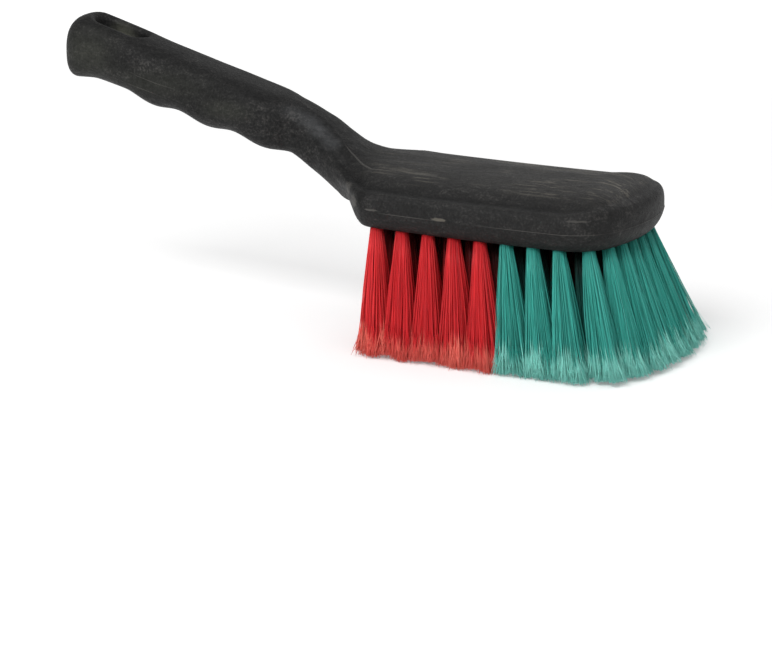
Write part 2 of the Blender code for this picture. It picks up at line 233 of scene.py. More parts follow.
# The filaments: how many in a tuft, how thick, and how their ends clump and scatter.
outer_count = 520
filament_count = 330
inner_count = 220
inner_flags = 2
first_inner_row = 2
clump_count = 20
clump_share = 0.55
clump_power = 4
clump_cells = 12
clump_lift = 0.002
spread_share = 0.55
hole_radius = 0.0026
filament_radius = 0.0002
filament_tip_radius = 0.00017
flag_count = 3
flag_radius = 0.00012
flag_tip_radius = 0.0001
flag_length = 0.0125
flag_length_shares = (0.5, 1.1)
flag_height_power = 1.5
flag_spread = 0.0015
root_depth = 0.002
tip_scatter = 0.0018
stray_scatter = 0.0015
tip_height = 0.001
bow_height = 0.0004
stray_share = 0.05
fan_power = 1.06
filament_rings = (0.0, 0.25, 0.5, 0.75, 1.0)
flag_rings = (0.0, 0.55, 1.0)
# Filaments take their tone from these cells; the three zones of cells get more and more painted shade
# towards the hole, the third for inner tufts from deep_start_x forwards.
shade_cells = 129
zone_cells = 43
cell_margin_share = 0.15
deep_start_x = 0.07

# Pale scuffs on the moulding: the centre, the reach along X, Y and Z, the strength and the colour.
tan = (0.13, 0.118, 0.098, 1.0)
pale_grey = (0.105, 0.1, 0.092, 1.0)
# The grey of a painted highlight.
highlight_grey = (0.092, 0.095, 0.1, 1.0)
olive = (0.052, 0.055, 0.043, 1.0)
# The pale olive of painted light on the slot's far wall.
lit_wall_olive = (0.15, 0.152, 0.12, 1.0)
scuffs = (
    ((0.0612, -0.0439, 0.0662), (0.0034, 0.004, 0.0007), 0.75, tan),
    ((0.0075, -0.032, 0.073), (0.0045, 0.0045, 0.0025), 0.45, pale_grey),
    ((0.0145, -0.039, 0.069), (0.004, 0.004, 0.003), 0.5, pale_grey),
    ((0.0255, -0.044, 0.067), (0.0042, 0.004, 0.0004), 0.6, pale_grey),
    ((0.0425, -0.022, 0.0812), (0.007, 0.001, 0.006), 0.35, pale_grey),
    ((0.129, -0.04, 0.0722), (0.006, 0.005, 0.0006), 0.4, pale_grey),
)

# Broad, soft changes of tone: each one's centre, reach, strength and colour. The olive ones are the
# plastic's own; the pale olive one is painted light on the slot's far wall, and the grey ones are a painted
# highlight along the neck.
tints_and_painted_light = (
    ((-0.144, -0.012, 0.12), (0.024, 0.018, 0.018), 0.8, olive),
    ((-0.105, -0.016, 0.109), (0.045, 0.012, 0.012), 0.45, olive),
    ((-0.066, -0.0165, 0.1), (0.022, 0.01, 0.008), 0.6, olive),
    ((-0.1365, 0.0062, 0.124), (0.011, 0.004, 0.012), 1.2, lit_wall_olive),
    ((-0.033, -0.0095, 0.1012), (0.013, 0.0065, 0.006), 0.35, highlight_grey),
    ((-0.025, -0.0095, 0.0977), (0.0105, 0.006, 0.0058), 0.6, highlight_grey),
    ((-0.0182, -0.011, 0.0936), (0.0095, 0.0058, 0.0062), 0.75, highlight_grey),
    ((-0.0115, -0.0121, 0.0892), (0.0085, 0.0055, 0.0062), 0.65, highlight_grey),
)

# Groups of pale streaks on the block's top: the centre and the reach of each.
streak_groups = (
    ((0.085, 0.012, 0.0827), (0.033, 0.008, 0.01)),
    ((0.131, -0.008, 0.082), (0.008, 0.008, 0.01)),
)

# The plastic's noises: the stretch along the axes, the scale, detail, roughness and distortion.
mottle_noise = ((0.7, 1.0, 1.0), 420.0, 6.0, 0.66, 0.4)
flow_noise = ((0.35, 1.0, 1.0), 95.0, 4.0, 0.58, 1.4)
grain_noise = ((1.0, 1.0, 1.0), 950.0, 3.0, 0.7, 0.0)
streak_noise = ((0.1, 1.0, 1.0), 460.0, 4.0, 0.6, 1.0)
patch_noise = ((0.6, 1.0, 1.0), 42.0, 2.0, 0.5, 0.0)

# How much of each noise is in the plastic's tone and in its bumps.
grain_in_tone, mottle_in_tone, flow_in_tone = 0.46, 0.26, 0.28
grain_in_bump, mottle_in_bump, flow_in_bump = 0.5, 0.7, 1.3
bump_strength = 0.55
bump_distance = 0.001

# The plastic's tones: the place in the noise, the grey and how warm it is.
plastic_tones = ((0.38, 0.003, 0.0), (0.47, 0.009, 0.0), (0.54, 0.017, 0.02), (0.62, 0.048, 0.05))
block_tone = (0.026, 0.02)
# The block top's paler tone is painted light.
lit_crown_tone = (0.04, 0.03)
# Painted shade on the handle's faces that look up.
upward_shade_tone = 0.006
# Painted shade in the valley and in the rear hollow.
painted_shade_tone = 0.002
streak_colour = (0.115, 0.106, 0.09, 1.0)
# A painted highlight on the seam, the crease and the mould lines.
line_highlight_colour = (0.1, 0.096, 0.089, 1.0)

# How strongly each is laid over the plastic; the crown's is painted light, the upward faces' and the
# valley's are painted shade, and the seam's and the crease's are painted highlights.
block_strength = 0.28
lit_crown_strength = 0.42
streak_strength = 0.8
upward_shade_strength = 0.5
line_highlight_strength = 0.85
crease_highlight_strength = 0.4
painted_shade_strength = 0.9

# Where each sets in and where it is full: along X, up Z, in a noise, by the normal or by the level of
# painted light.
block_window = (-0.01, 0.04)
crown_window = (0.0765, 0.0815)
streak_window = (0.5, 0.66)
group_window = (0.47, 0.6)
patch_window = (0.44, 0.6)
upward_shade_window = (0.35, 0.95)
line_highlight_window = (0.25, 1.0)
crease_highlight_window = (1.02, 1.12)
broken_window = (0.36, 0.58)
spot_window = (1.05, 1.55)
spot_fray = 2.4

# The plastic's gloss: rough, and a little less so where the tone is pale.
plastic_roughness = 0.84
tone_in_roughness = 0.55
plastic_specular = 0.16

# The filaments' colours: the dark, the usual and the bright ones, and the split ends.
red_colours = (
    (0.56, 0.014, 0.02, 1.0), (0.8, 0.026, 0.034, 1.0), (0.9, 0.055, 0.055, 1.0),
    (1.0, 0.215, 0.165, 1.0),
)
green_colours = (
    (0.032, 0.29, 0.245, 1.0), (0.048, 0.43, 0.36, 1.0), (0.085, 0.56, 0.48, 1.0),
    (0.34, 0.86, 0.76, 1.0),
)
shade_stops = (0.0, 0.3, 0.75, 1.0)
filament_roughness = 0.4
roughness_scatter = 0.15
filament_specular = 0.35

# Where along a filament it pales and how much, and how both waver from one filament to the next.
pale_start = 0.73
pale_scatter = 0.1
pale_wave = 0.04
pale_length = 0.1
pale_strength = 0.75
pale_strength_wave = 0.22

# Painted shade: how dark a filament is at its hole and how far down it is full bright: outer ones, and each
# zone in.
lit_start = 0.02
outer_lit_end = 0.22
zone_lit_end = 0.44
outer_least = 0.74
zone_least = 0.15
root_shade_tone = 0.003

# The stage: the floor, which glows to the camera only, the sky and the lamps.
floor_half = 4.0
floor_tone = 0.9
floor_roughness = 0.9
floor_glow = 0.22
far_glow = 0.6
far_window = (0.4, 1.6)
white = (1.0, 1.0, 1.0, 1.0)
sky_strength = 0.5
lamp_aim = (0.03, 0.0, 0.06)
lamps = (
    ("key", (-0.1, -1.15, 1.25), 0.9, 17.5),
    ("side", (1.3, -0.9, 0.7), 0.8, 1.0),
    ("back", (0.1, 1.4, 1.2), 0.9, 4.0),
)

# The camera: its angles in degrees, its distance from the point it looks at, and its lens.
camera_azimuth = 27.098
camera_elevation = 15.285
camera_distance = 1.7536
camera_aim = (0.01121, 0.0, -0.00257)
camera_lens = 171.04
camera_sensor = 36.0

# Places that follow from the sizes.
handle_end_x = -overall_length / 2
front_x = overall_length / 2 - tip_overhang
block_rear_x = front_x - block_length
handle_length = block_rear_x - handle_end_x
underside_z = trim_length
top_z = underside_z + block_height
block_half = block_width / 2
front_centre_x = front_x - front_radius
corner_y = block_half - corner_radius
corner_reach = sqrt((front_radius - corner_radius) ** 2 - corner_y ** 2)
corner_x = front_centre_x + corner_reach
outer_row_y = block_half - outer_row_inset
row_pitch = 2 * outer_row_y / (2 * len(row_tufts) - 1)
ring_pitch = row_pitch * ring_pitch_share
first_tuft_x = block_rear_x + first_tuft_offset


# The moulding.

def smooth_line(points, place):
    """Height at a place along a line through points, with no overshoot between them."""
    points = sorted(points)
    if place <= points[0][0]:
        return points[0][1]
    if place >= points[-1][0]:
        return points[-1][1]
    runs = [b[0] - a[0] for a, b in zip(points, points[1:])]
    slopes = [(b[1] - a[1]) / run for a, b, run in zip(points, points[1:], runs)]
    tangents = [slopes[0]]
    for before, after in zip(slopes, slopes[1:]):
        steady = before * after > 0
        tangents.append(2 * before * after / (before + after) if steady else 0.0)
    tangents.append(slopes[-1])
    i = max(k for k in range(len(runs)) if points[k][0] <= place)
    t = (place - points[i][0]) / runs[i]
    start, end = points[i][1], points[i + 1][1]
    return (
        start * (2 * t ** 3 - 3 * t ** 2 + 1) + end * (3 * t ** 2 - 2 * t ** 3)
        + runs[i] * (tangents[i] * (t ** 3 - 2 * t ** 2 + t) + tangents[i + 1] * (t ** 3 - t ** 2))
    )


def between(start, end, share):
    return start + (end - start) * share


def smooth_step(value):
    value = min(max(value, 0.0), 1.0)
    return value * value * (3 - 2 * value)


def handle_share(x):
    """How far along the handle x lies: 0 at the block, 1 at the handle's end."""
    return (block_rear_x - x) / handle_length


def rounded_end(x, radius):
    """How far an end edge with this radius has drawn in at x."""
    from_end = min((x - handle_end_x) / radius, 1.0)
    return radius * (1 - sqrt(max(1 - (1 - from_end) ** 2, 0.0)))


def sag(x, height):
    """How far a long line is bent up at x, away from the block's middle."""
    from_middle = (max(x, block_rear_x) - sag_middle_x) / sag_half_length
    low, high = sag_reach_shares
    return height * min(max(from_middle, low), high) ** 2


def top_line(x):
    """Height of the top along the middle, before the block sags."""
    return top_z + handle_rise * smooth_line(top_line_shares, handle_share(x))


def finger_lobes(x):
    """Extra depth of the grip's lobes, which fit between the fingers."""
    from_front = (block_rear_x - last_lobe_offset - x) / lobe_pitch
    if not -0.5 < from_front < lobe_count - 0.5:
        return 0.0
    return lobe_height * (1 + cos(2 * pi * from_front)) / 2


def under_line(x):
    """Height of the underside along the middle."""
    grip_front_depth = between(neck_depth, grip_depth, grip_front_depth_share)
    rear = [(at, between(block_height, flare_depth, share)) for at, share in rear_rise_shares]
    grip = [
        (under_knee_share, knee_depth), (bend_share, bend_depth), (neck_under_share, neck_depth),
        (grip_front_share, grip_front_depth), (grip_back_share, grip_depth), (1.0, grip_end_depth),
    ]
    return top_line(x) - smooth_line(rear + grip, handle_share(x)) - finger_lobes(x)


def plan_half_width(x):
    """Half width of the handle and of the block behind its front corners."""
    neck_half, grip_half = neck_width / 2, grip_width / 2
    flare = [(at, between(neck_half, block_half, share)) for at, share in flare_width_shares]
    grip = [(at, between(neck_half, grip_half, share)) for at, share in grip_width_shares]
    return smooth_line(flare + grip + [(1.0, grip_end_width / 2)], handle_share(x))


def handle_height(x, y, way):
    """Height of the handle's rounded top, way 1, or underside, way -1, at a place."""
    top, under = top_line(x), under_line(x)
    beside = min(abs(y) / plan_half_width(x), 1.0)
    rounding = (1 - beside ** section_power) ** (1 / section_power)
    return (top + under) / 2 + way * (top - under) / 2 * rounding


def handle_rib(x, turns):
    """Half of the handle's rounded section, from its underside to its top."""
    half = plan_half_width(x) - rounded_end(x, end_plan_radius)
    top = top_line(x) - rounded_end(x, end_top_radius)
    under = under_line(x) + rounded_end(x, end_under_radius)
    power = 2 / section_power
    rib = []
    for i in range(turns):
        angle = pi * (i / (turns - 1) - 0.5)
        out = half * max(cos(angle), 0.0) ** power
        up = copysign(abs(sin(angle)) ** power, sin(angle))
        rib.append((out, (top + under) / 2 + up * (top - under) / 2))
    rib[0] = (0.0, under)
    rib[-1] = (0.0, top)
    return rib


def blended_line(side, front, front_weight, place):
    """Height at a place of a line that turns from the side's shape to the front's."""
    return between(smooth_line(side, place), smooth_line(front, place), front_weight)


def block_rib(edge, under, top, rear_weight, front_weight):
    """Half of the block's section: flat underside, rounded edge, padded rim, soft valley and dome."""
    floor_z = top - block_height
    band_z = floor_z + band_height
    round_width = between(lower_round_width, rear_round_width, rear_weight)
    round_height = between(lower_round_height, rear_round_height, rear_weight)
    round_height *= (band_z - under) / band_height
    flat = edge(round_width)
    rib = [(flat * i / flat_steps, under) for i in range(flat_steps + 1)]
    last = pi / 2 * draft_angle_share
    for i in range(1, round_steps + 1):
        angle = last * i / round_steps
        inset = round_width * (1 - sin(angle) / sin(last))
        rise = (1 - cos(angle)) / (1 - cos(last))
        rib.append((edge(inset), under + round_height * rise))
    seam_z = under + round_height + seam_gap
    for out, rise in ((0.0, -seam_half_width), (seam_height, 0.0), (0.0, seam_half_width)):
        rib.append((edge(-out), seam_z + rise))
    rim_z = seam_z + seam_gap
    valley_z = floor_z + between(valley_height, front_valley_height, front_weight)
    reach = between(valley_inset, front_valley_inset, front_weight)
    for i in range(rim_steps + 1):
        inset = reach * smooth_line(rim_inset_shares, i / rim_steps)
        rise = blended_line(rim_rise_shares, front_rim_rise_shares, front_weight, i / rim_steps)
        rib.append((edge(inset), between(rim_z, valley_z, rise)))
    for i in range(1, dome_steps + 1):
        share = i / dome_steps
        rise = blended_line(dome_rise_shares, front_dome_rise_shares, front_weight, share)
        rib.append((edge(reach) * (1 - share), between(valley_z, top, rise)))
    return rib


def block_weight(x):
    """How much of the section at x is the block's: 0 in the handle, 1 in the block."""
    along = (blend_start_share - handle_share(x)) / (blend_start_share - blend_end_share)
    return smooth_step(along)


def rib_painted_light(weight, front_weight):
    """How much painted light each point of a rib gets: 1, a painted highlight, on the seam's crest, down to
    -1, painted shade, in the valley.
    """
    seam = flat_steps + round_steps + 2
    valley = seam + 2 + rim_steps
    painted_light = []
    for i in range(valley + dome_steps + 1):
        from_valley = (i - valley) / (valley_shade_steps_above if i > valley else valley_shade_steps_below)
        # Painted shade darkens the steps either side of the valley, less towards the front; the seam's
        # crest gets a painted highlight.
        darkening = smooth_step(1 - abs(from_valley)) * (1 - front_weight)
        painted_light.append(weight ** 3 * (float(i == seam) - valley_shade * darkening))
    return painted_light


def section_rib(x):
    """Half of the section at x, blended between the handle's and the block's."""
    def edge(inset):
        return plan_half_width(x) - inset

    rear_weight = smooth_step(1 - (x - block_rear_x) / rear_round_reach)
    block = block_rib(edge, under_line(x), top_line(x), rear_weight, 0.0)
    handle = handle_rib(x, len(block))
    weight = block_weight(x)
    return [(between(a[0], b[0], weight), between(a[1], b[1], weight)) for a, b in zip(handle, block)]


def joint_y(inset):
    """Y where the front arc meets a corner arc, on the outline drawn in by inset."""
    return (front_radius - inset) * corner_y / (front_radius - corner_radius)


def ray_length(angle, inset):
    """Distance from the middle of the corners to the front outline, drawn in by inset."""
    front = front_radius - inset
    aside = corner_reach * sin(angle)
    length = sqrt(front ** 2 - aside ** 2) - corner_reach * cos(angle)
    if length * sin(angle) <= joint_y(inset):
        return length
    corner = corner_radius - inset
    along = corner_y * sin(angle)
    return along + sqrt(corner ** 2 - corner_y ** 2 + along ** 2)


def front_turn(angle, share=front_turn_share):
    """How far a rib at this angle faces front: 0 at the sides, 1 in the middle."""
    return smooth_step(share * cos(angle))


def front_rib(angle):
    """Half section along a ray from the middle of the corners to the front outline."""
    def edge(inset):
        return ray_length(abs(angle), inset)

    return block_rib(edge, underside_z, top_line(corner_x), 0.0, front_turn(angle))


def stations():
    """The places of the sections along X."""
    end_length = max(end_plan_radius, end_top_radius, end_under_radius)
    places = [handle_end_x + end_length * (1 - cos(pi / 2 * i / end_steps)) for i in range(end_steps)]
    start = handle_end_x + end_length
    count = ceil((corner_x - start) / station_step)
    return places + [start + (corner_x - start) * i / count for i in range(count + 1)]


def rear_dent(place):
    """The upright hollow behind the padded rim: 1 in its middle, 0 outside."""
    along = exp(-((place.x - dent_x) / dent_half_width) ** 2)
    up = smooth_step((place.z - dent_low_z) / dent_fade) * smooth_step((dent_high_z - place.z) / dent_fade)
    return along * up * smooth_step((abs(place.y) - dent_start_y) / dent_fade)


def skin(bm, rings):
    """Faces between closed rings of vertices."""
    for a, b in zip(rings, rings[1:]):
        for i in range(len(a)):
            j = (i + 1) % len(a)
            bm.faces.new((a[i], b[i], b[j], a[j]))


def add_vert(bm, place, painted_level):
    """Adds a vertex with its level of painted light."""
    vert = bm.verts.new(place)
    vert[bm.verts.layers.float["painted_light"]] = painted_level
    return vert


def side_rings(bm):
    """Rings of the sections, from the handle's end to the middle of the block's corners."""
    rings = []
    for x in stations():
        rib = section_rib(x)
        painted_level = rib_painted_light(block_weight(x), 0.0)
        right = [add_vert(bm, (x, -out, up), w) for (out, up), w in zip(rib, painted_level)]
        left = [add_vert(bm, (x, out, up), w) for (out, up), w in zip(rib[1:-1], painted_level[1:-1])]
        rings.append(right + left[::-1])
    return rings


def front_ribs(bm, last):
    """Ribs from one half of the last ring round the front to its other half."""
    size = len(section_rib(corner_x))
    right = last[:size]
    ribs = [right]
    for k in range(1, front_rib_count):
        angle = pi * (k / front_rib_count - 0.5)
        rib = front_rib(angle)
        painted_level = rib_painted_light(1.0, front_turn(angle, front_shade_share))
        turned = [
            add_vert(bm, (corner_x + out * cos(angle), out * sin(angle), up), w)
            for (out, up), w in zip(rib[1:-1], painted_level[1:-1])
        ]
        ribs.append([right[0]] + turned + [right[-1]])
    return ribs + [[last[0]] + last[:size - 2:-1]]


def body_mesh():
    """Lofts the sections, closes both ends and lets the block sag."""
    bm = bmesh.new()
    painted_light = bm.verts.layers.float.new("painted_light")
    rings = side_rings(bm)
    ribs = front_ribs(bm, rings[-1])
    skin(bm, rings)
    bm.faces.new(rings[0])
    for a, b in zip(ribs, ribs[1:]):
        for i in range(len(a) - 1):
            corners = (a[i], b[i], b[i + 1], a[i + 1])
            bm.faces.new(list(dict.fromkeys(corners)))
    for vert in bm.verts:
        dent = rear_dent(vert.co)
        vert.co.y -= copysign(dent_depth * dent, vert.co.y)
        # The hollow is darkened with painted shade.
        vert[painted_light] -= dent_shade * dent
        vert.co.z += sag(vert.co.x, sag_height)
    bmesh.ops.recalc_face_normals(bm, faces=bm.faces)
    return bm


def outline_x(y, inset):
    """X of the block's front outline at a y above 0, drawn in by inset."""
    if y <= joint_y(inset):
        return front_centre_x + sqrt((front_radius - inset) ** 2 - y ** 2)
    corner = corner_radius - inset
    return corner_x + sqrt(max(corner ** 2 - (y - corner_y) ** 2, 0.0))


def linked(name, data):
    """A new object in the scene."""
    obj = bpy.data.objects.new(name, data)
    bpy.context.scene.collection.objects.link(obj)
    return obj


def add_object(name, bm, material=None):
    """Links a smooth mesh as an object."""
    mesh = bpy.data.meshes.new(name)
    bm.to_mesh(mesh)
    bm.free()
    mesh.shade_smooth()
    if material:
        mesh.materials.append(material)
    return linked(name, mesh)


def cut(obj, cutter):
    """Cuts obj with a cutter, and removes the cutter."""
    modifier = obj.modifiers.new("cut", "BOOLEAN")
    modifier.operation = "DIFFERENCE"
    modifier.solver = "EXACT"
    modifier.object = cutter
    graph = bpy.context.evaluated_depsgraph_get()
    made = bpy.data.meshes.new_from_object(obj.evaluated_get(graph))
    obj.modifiers.clear()
    old = obj.data
    obj.data = made
    bpy.data.meshes.remove(old)
    bpy.data.objects.remove(cutter, do_unlink=True)


def slot_ring(sizes, grow, height):
    """One ring of the hang slot's cutter, grown outwards, at a height that varies."""
    length, width, end_distance = sizes
    middle_x = handle_end_x + end_distance
    radius = width / 2 + grow
    straight = (length - width) / 2
    ring = []
    for side in (1, -1):
        for i in range(slot_arc_steps + 1):
            turn = pi * (i / slot_arc_steps - 0.5)
            x = middle_x + side * (straight + radius * cos(turn))
            y = side * radius * sin(turn)
            ring.append((x, y, height(x, y)))
    return ring


def slot_cutter():
    """The hang slot, right through the handle, with rounded rims."""
    below = (slot_length, slot_width, slot_end_distance)
    above = (slot_top_length, slot_top_width, slot_top_end_distance)
    lift = sag(handle_end_x, sag_height)
    rings = [slot_ring(below, slot_under_rim_radius, lambda x, y: under_line(x) - overrun)]
    for sizes, radius, way in ((below, slot_under_rim_radius, -1), (above, slot_rim_radius, 1)):
        steps = range(round_steps, -1, -1) if way > 0 else range(round_steps + 1)
        for i in steps:
            turn = pi / 2 * i / round_steps
            grow = radius * (1 - sin(turn))
            sink = lift - way * radius * (1 - cos(turn))
            rings.append(slot_ring(sizes, grow, lambda x, y, w=way, s=sink: handle_height(x, y, w) + s))
    rings.append(slot_ring(above, slot_rim_radius, lambda x, y: top_line(x) + overrun))
    bm = bmesh.new()
    loops = [[bm.verts.new(point) for point in ring] for ring in rings]
    skin(bm, loops)
    bm.faces.new(loops[0][::-1])
    bm.faces.new(loops[-1])
    bmesh.ops.recalc_face_normals(bm, faces=bm.faces)
    return add_object("slot_cutter", bm)


def path_point(points, share):
    """A point at a share of the way along a path."""
    place = share * (len(points) - 1)
    return [smooth_line([(i, point[k]) for i, point in enumerate(points)], place) for k in range(3)]


def bead(tree, points, aim, radius, steps=bead_steps):
    """A fine raised line: a tube that rays from a path drop onto the moulding."""
    centres = []
    for i in range(steps + 1):
        start = Vector(path_point(points, i / steps))
        spot, normal, _, _ = tree.ray_cast(start, aim)
        if spot:
            centres.append((spot - normal * radius * bead_sink_share, normal))
    bm = bmesh.new()
    rings = []
    last = len(centres) - 1
    for i, (centre, normal) in enumerate(centres):
        along = (centres[min(i + 1, last)][0] - centres[max(i - 1, 0)][0]).normalized()
        across = normal.cross(along)
        share = min(max(i / last, bead_end_share), 1 - bead_end_share)
        thick = radius * sqrt(sin(pi * share))
        turns = [2 * pi * k / bead_sides for k in range(bead_sides)]
        rings.append([
            bm.verts.new(centre + (across * cos(turn) + normal * sin(turn)) * thick)
            for turn in turns
        ])
    skin(bm, rings)
    bm.faces.new(rings[0][::-1])
    bm.faces.new(rings[-1])
    bmesh.ops.recalc_face_normals(bm, faces=bm.faces)
    return bm


def fine_lines(body):
    """The raised lines of the moulding, each with its level of painted highlight."""
    tree = BVHTree.FromObject(body, bpy.context.evaluated_depsgraph_get())
    up, down = Vector((0, 0, 1)), Vector((0, 0, -1))
    beads = []
    for side in (-1, 1):
        inwards = Vector((0, -side, 0))
        crease = [(x, side * y, high_z) for x, y in crease_path]
        beads.append((bead(tree, crease, down, crease_radius), crease_highlight))
        for path in mould_line_paths:
            line = [(x, side * overall_length, z) for x, z in path]
            beads.append((bead(tree, line, inwards, mould_line_radius), mould_line_highlight))
    ring = []
    for i in range(ring_mark_points + 1):
        turn = 2 * pi * i / ring_mark_points
        x = ring_mark_x + ring_mark_radius * cos(turn)
        ring.append((x, ring_mark_y + ring_mark_radius * sin(turn), 0.0))
    beads.append((bead(tree, ring, up, ring_mark_bead_radius), 0.0))
    for i in range(wrinkle_count):
        x = wrinkle_start_x + wrinkle_pitch * i
        path = [(x + wrinkle_wave * sin(3 * k + 2 * i), y, 0.0) for k, y in enumerate(wrinkle_ys)]
        beads.append((bead(tree, path, up, wrinkle_radius, wrinkle_steps), 0.0))
    return beads


def join_meshes(obj, extra):
    """Adds meshes, each with its level of painted light, to an object's own."""
    bm = bmesh.new()
    bm.from_mesh(obj.data)
    painted_light = bm.verts.layers.float.get("painted_light")
    for piece, painted_level in extra:
        before = len(bm.verts)
        mesh = bpy.data.meshes.new("bead")
        piece.to_mesh(mesh)
        piece.free()
        bm.from_mesh(mesh)
        bpy.data.meshes.remove(mesh)
        bm.verts.ensure_lookup_table()
        for vert in bm.verts[before:]:
            vert[painted_light] = painted_level
    bm.to_mesh(obj.data)
    bm.free()
    obj.data.shade_smooth()


def moulding(material):
    """The handle and block in one piece, with its hang slot."""
    body = add_object("moulded_handle_block", body_mesh(), material)
    cut(body, slot_cutter())
    join_meshes(body, fine_lines(body))
    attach(body, "root")
    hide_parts("handle_block")


# The filaments.

def tuft_tip(root_x, root_y, side):
    """Where a tuft's middle ends: fanned out sideways, and forwards at the front."""
    ring_front_x = outline_x(ring_pitch / 2, ring_inset)
    front_lean = overall_length / 2 - tip_reach - ring_front_x - rear_lean
    along = (root_x - first_tuft_x) / (ring_front_x - first_tuft_x)
    turn = smooth_line(forward_lean_shares, along)
    out = root_y * fan_share + far_corner_lean * turn * max(side, 0) * root_y / outer_row_y
    return root_x + rear_lean + front_lean * turn, side * out


def row_places(row):
    """Roots of one row's tufts on one side: those in line, then the one of the front column."""
    reds, greens, gap = row_tufts[row]
    y = outer_row_y - row * row_pitch
    ring_y = ring_pitch * (len(row_tufts) - row - 0.5)
    ring_x = outline_x(ring_y, ring_inset)
    pitch = (ring_x - gap - first_tuft_x) / (reds + greens - 1)
    return [(first_tuft_x + i * pitch, y) for i in range(reds + greens)] + [(ring_x, ring_y)], pitch


def tubes(centres, radii, phases, shades, shares):
    """Three-sided closed tubes along rows of centres: vertices, faces and UV corners."""
    count, rings = centres.shape[:2]
    angles = phases[:, None] + np.arange(3)[None] * 2 * pi / 3
    around = np.stack([np.cos(angles), np.sin(angles), np.zeros_like(angles)], axis=-1)
    points = centres[:, :, None] + radii[:, :, None, None] * around[:, None]
    start = np.arange(count)[:, None] * rings * 3
    ring = np.arange(rings - 1)[None, :, None] * 3
    side = np.arange(3)[None, None]
    after = (side + 1) % 3
    base = start[:, :, None] + ring
    quads = np.stack([base + side, base + side + 3, base + after + 3, base + after], axis=-1)
    low = (shades + cell_margin_share) / shade_cells
    high = (shades + 1 - cell_margin_share) / shade_cells
    shape = (count, rings - 1, 3)
    before, behind = shares[:, :-1, None], shares[:, 1:, None]
    corners = ((low, before), (low, behind), (high, behind), (high, before))
    quad_uv = np.stack([
        np.stack([np.broadcast_to(u[:, None, None], shape), np.broadcast_to(v, shape)], axis=-1)
        for u, v in corners
    ], axis=-2)
    ends = (start + np.arange(3)[None], start + (rings - 1) * 3 + np.arange(3)[None, ::-1])
    lift = 0.5 / shade_cells
    cap_uv = []
    for share, way in ((shares[:, 0], 1), (shares[:, -1], -1)):
        cap_uv.append(np.stack([
            np.stack([low, share], axis=-1), np.stack([high, share], axis=-1),
            np.stack([high, share + way * lift], axis=-1),
        ], axis=1))
    return (
        points.reshape(-1, 3), quads.reshape(-1, 4), quad_uv.reshape(-1, 4, 2),
        np.concatenate(ends), np.concatenate(cap_uv),
    )


def mesh_of(name, parts):
    """A mesh of tubes, with the map that carries the filaments' shades."""
    firsts = np.cumsum([0] + [len(part[0]) for part in parts[:-1]])
    points = np.concatenate([part[0] for part in parts])
    quads = np.concatenate([part[1] + first for part, first in zip(parts, firsts)])
    caps = np.concatenate([part[3] + first for part, first in zip(parts, firsts)])
    uv = np.concatenate([part[k].reshape(-1, 2) for k in (2, 4) for part in parts])
    mesh = bpy.data.meshes.new(name)
    mesh.vertices.add(len(points))
    mesh.vertices.foreach_set("co", points.astype(np.float32).ravel())
    corners = np.concatenate([quads.ravel(), caps.ravel()]).astype(np.int32)
    mesh.loops.add(len(corners))
    mesh.loops.foreach_set("vertex_index", corners)
    mesh.polygons.add(len(quads) + len(caps))
    starts = np.concatenate([np.arange(len(quads)) * 4, quads.size + np.arange(len(caps)) * 3])
    mesh.polygons.foreach_set("loop_start", starts.astype(np.int32))
    mesh.uv_layers.new(name="OFBake").data.foreach_set("uv", uv.astype(np.float32).ravel())
    mesh.update(calc_edges=True)
    mesh.validate()
    mesh.shade_smooth()
    return mesh


def spiral_disc(count, first_angle):
    """Points spread evenly over a disc, as seeds are in a sunflower."""
    k = np.arange(count) + 0.5
    angle = k * pi * (3 - sqrt(5)) + first_angle
    return np.sqrt(k / count)[:, None] * np.stack([np.cos(angle), np.sin(angle)], axis=-1)


def squared(disc):
    """The points of a disc, pushed out so that they fill a square."""
    length = np.linalg.norm(disc, axis=1)
    return disc * (length / np.abs(disc).max(axis=1))[:, None]


def strand_centres(starts, ends, bow, pull, drop, tips, steps):
    """Centres at steps along filaments that fan out, bow, and clump at their ends."""
    centres = np.empty(steps.shape + (3,))
    centres[:, :, :2] = starts[:, None] + (ends - starts)[:, None] * (steps ** fan_power)[:, :, None]
    centres[:, :, :2] += bow[:, None] * np.sin(pi * steps)[:, :, None]
    centres[:, :, :2] += pull[:, None] * (steps ** clump_power)[:, :, None]
    centres[:, :, 2] = between(drop, tips[:, None], steps)
    return centres


